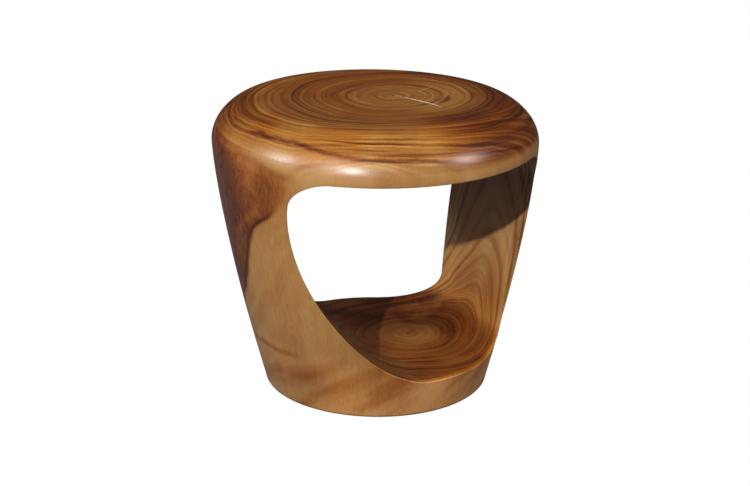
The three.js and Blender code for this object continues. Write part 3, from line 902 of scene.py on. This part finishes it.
# The wood: place, parts of the block, tone layer by layer, then colour, gloss and bump
def woodMaterial():
    material, tree, shader, where = startMaterial("lacquered_wood", **lacquer["sockets"])
    at = trunkPlace(tree, where)
    blockParts(at)
    tone = plainTone(at)
    # Each layer changes the tone and leaves its masks in at, for the colours and the bump
    for layer in (wallEdgeTone, fibreTone, rightSideTone, patchTone, footTone, seatMarksTone):
        tone = layer(at, tone)
    feed(tree, shader.inputs["Base Color"], woodColour(at, tone))
    s = lacquer
    rough = woodNoise(at, "gloss") * s["roughNoise"] + at.pores * s["roughPores"] + s["rough"]
    feed(tree, shader.inputs["Roughness"], rough)
    addBump(tree, shader, at.fibre * s["bumpFibre"] - at.pores, s["bumpDistance"], s["bumpStrength"])
    return material


smallParts = {
    "filler": {
        "sockets": {"Roughness": 0.6},
        "noise": (700.0, 3.0, 0.6), "bump": 0.0001,
        "colours": [(0.3, (0.60, 0.42, 0.26)), (0.7, (0.84, 0.66, 0.47))],
        # The hairline's fill, which lies behind the pith, soaked up more lacquer
        "hairlineY": (-0.012, -0.004), "soaked": 0.75, "soakedColour": (0.30, 0.15, 0.06),
    },
    "cup": {
        "sockets": {"Roughness": 0.5},
        "noise": (900.0, 3.0, 0.6), "bump": 0.00006,
        "colours": [(0.3, (0.020, 0.016, 0.013)), (0.7, (0.040, 0.032, 0.026))],
    },
    "felt": {
        "sockets": {"Roughness": 0.95, "Sheen Weight": 0.4},
        "noise": (900.0, 4.0, 0.7, 1.2), "bump": 0.0004,
        "colours": [(0.25, (0.055, 0.036, 0.024)), (0.75, (0.17, 0.12, 0.085))],
    },
    "nail": {
        "noise": (500.0, 2.0), "finer": 8,    # so much finer along the nail
        "colours": [(0.3, (0.42, 0.42, 0.41)), (0.7, (0.60, 0.60, 0.59))],
        "roughStrength": (0.2, 0.25),
    },
}


# Fine noise between two colours, which also raises the surface
def grainyMaterial(name, kind):
    g = smallParts[kind]
    material, tree, shader, where = startMaterial(name, **g["sockets"])
    spot = where.outputs["Object"]
    grains = noise(tree, spot, *g["noise"])
    colour = ramp(grains, g["colours"])
    if "soaked" in g:
        soaked = splitVector(tree, spot)[1].between(*g["hairlineY"]) * g["soaked"]
        colour = blendColour(tree, soaked, colour, g["soakedColour"])
    feed(tree, shader.inputs["Base Color"], colour)
    addBump(tree, shader, grains, g["bump"])
    return material


# Brushed metal, whose brush marks change its colour and its roughness
def nailMaterial():
    g = smallParts["nail"]
    material, tree, shader, where = startMaterial("zinc", Metallic=1.0)
    x, y, z = splitVector(tree, where.outputs["Object"])
    brushed = noise(tree, joinVector(tree, x, y, z * g["finer"]), *g["noise"])
    feed(tree, shader.inputs["Base Color"], ramp(brushed, g["colours"]))
    feed(tree, shader.inputs["Roughness"], brushed.line(*g["roughStrength"]))
    return material


print("materials: wood, filler, glides")
stumpSkin.data.materials.append(woodMaterial())
finishes = {
    "fill": grainyMaterial("wood_filler", "filler"),
    "glide_cup": grainyMaterial("moulded_cup", "cup"),
    "glide_felt": grainyMaterial("pressed_felt", "felt"),
    "glide_nail": nailMaterial(),
}

# A carried-over CAD node keeps its shape and gets its own finish
for nodeName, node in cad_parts.items():
    for kind, finish in finishes.items():
        if kind in nodeName:
            node.data.materials.clear()
            node.data.materials.append(finish)

# Camera: from the front left and a little above, as in the photograph
cameraPlace = {
    "turn": -116,            # degrees from +X, as for the lamps
    "rise": 18.93,           # degrees above the horizon
    "distance": 2.662, "aim": (-0.0017, 0.0001, 0.2204),
    "roll": -0.0035,         # radians
    "lens": 83.4, "sensor": 36, "clip": (0.05, 60),
}


# Stands a camera or lamp at a turn, a rise and a distance from its aim, and faces it there
def standFacing(piece, aim, turn, rise, distance):
    turn, rise = math.radians(turn), math.radians(rise)
    away = Vector((math.cos(turn) * math.cos(rise), math.sin(turn) * math.cos(rise), math.sin(rise)))
    piece.location = Vector(aim) + away * distance
    piece.rotation_euler = away.to_track_quat("Z", "Y").to_euler()


def placeCamera():
    c = cameraPlace
    data = bpy.data.cameras.new("camera")
    data.lens, data.sensor_width = c["lens"], c["sensor"]
    data.clip_start, data.clip_end = c["clip"]
    camera = addObject("camera", data)
    standFacing(camera, c["aim"], c["turn"], c["rise"], c["distance"])
    camera.rotation_euler.rotate_axis("Z", c["roll"])
    bpy.context.scene.camera = camera


placeCamera()

# Light: a small key from the front left, which throws the seat's shadow on the right wall, and broad soft
# ones, whose shapes the lacquer mirrors along the rim, with an even surround
cool = (0.88, 1.0, 1.14)      # the broad lamps on the left are slightly blue, as a clear sky is
lamps = {
    "key": {"turn": -138.5, "rise": 27.6, "size": 0.12, "power": 300},
    "wide": {"turn": -152, "rise": 34, "size": 2.2, "power": 88, "colour": cool},
    "left": {"turn": -194, "rise": 27, "size": 1.3, "power": 130, "colour": cool},
    "side": {"turn": -45, "rise": 35, "size": 1.6, "power": 152},
}
lampAim, lampDistance = (0, 0, 0.25), 6.0
surround = {"light": 0.30, "tint": (1.0, 0.93, 0.86), "shine": 0.03}    # shine is what the lacquer mirrors
floor = {"half": 14.0, "colour": 0.12, "whiteShare": 0.90, "white": 1.10}


# A round area lamp that faces the stool
def placeLamp(name, turn, rise, size, power, colour=(1.0, 1.0, 1.0)):
    data = bpy.data.lights.new(name, "AREA")
    data.shape, data.size, data.energy, data.color = "DISK", size, power, colour
    standFacing(addObject(name, data), lampAim, turn, rise, lampDistance)


for lampName, lamp in lamps.items():
    placeLamp(lampName, **lamp)


# 1 where the camera looks, straight or through glass
def seenShare(tree, path):
    return Field(tree, path.outputs["Is Camera Ray"]).calc("MAXIMUM", path.outputs["Is Transmission Ray"])


# Even light from all round; the camera sees plain white there and the lacquer a dim grey
def placeSurround():
    world = bpy.data.worlds.new("surround")
    bpy.context.scene.world = world
    world.use_nodes = True
    tree = world.node_tree
    sky = tree.nodes["Background"]
    path = tree.nodes.new("ShaderNodeLightPath")
    seen = seenShare(tree, path)
    mirrored = Field(tree, path.outputs["Is Glossy Ray"])
    feed(tree, sky.inputs["Color"], blendColour(tree, seen, surround["tint"], (1.0, 1.0, 1.0)))
    strength = mirrored * (surround["shine"] - surround["light"]) + surround["light"]
    feed(tree, sky.inputs["Strength"], seen * (1 - strength) + strength)


# A wide pale floor: a lit matt colour, lifted to white where the camera looks, which keeps a faint shadow
def placeFloor():
    material = bpy.data.materials.new("pale_floor")
    material.use_nodes = True
    tree = material.node_tree
    tree.nodes.remove(tree.nodes["Principled BSDF"])
    matt = tree.nodes.new("ShaderNodeBsdfDiffuse")
    matt.inputs["Color"].default_value = (floor["colour"],) * 3 + (1,)
    white = tree.nodes.new("ShaderNodeEmission")
    white.inputs["Strength"].default_value = floor["white"]
    path = tree.nodes.new("ShaderNodeLightPath")
    mix = tree.nodes.new("ShaderNodeMixShader")
    feed(tree, mix.inputs[0], seenShare(tree, path) * floor["whiteShare"])
    tree.links.new(matt.outputs[0], mix.inputs[1])
    tree.links.new(white.outputs[0], mix.inputs[2])
    tree.links.new(mix.outputs[0], tree.nodes["Material Output"].inputs["Surface"])
    half = floor["half"]
    corners = [(-half, -half, 0), (half, -half, 0), (half, half, 0), (-half, half, 0)]
    mesh = bpy.data.meshes.new("floor")
    mesh.from_pydata(corners, [], [(0, 1, 2, 3)])
    mesh.materials.append(material)
    addObject("floor", mesh)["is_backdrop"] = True


placeSurround()
placeFloor()

bpy.context.scene.view_settings.view_transform = "Standard"

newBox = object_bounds()
for label, box in (("solids", cadBox), ("dressed", newBox)):
    print("size:", label, [round(high - low, 4) for low, high in zip(*box)])
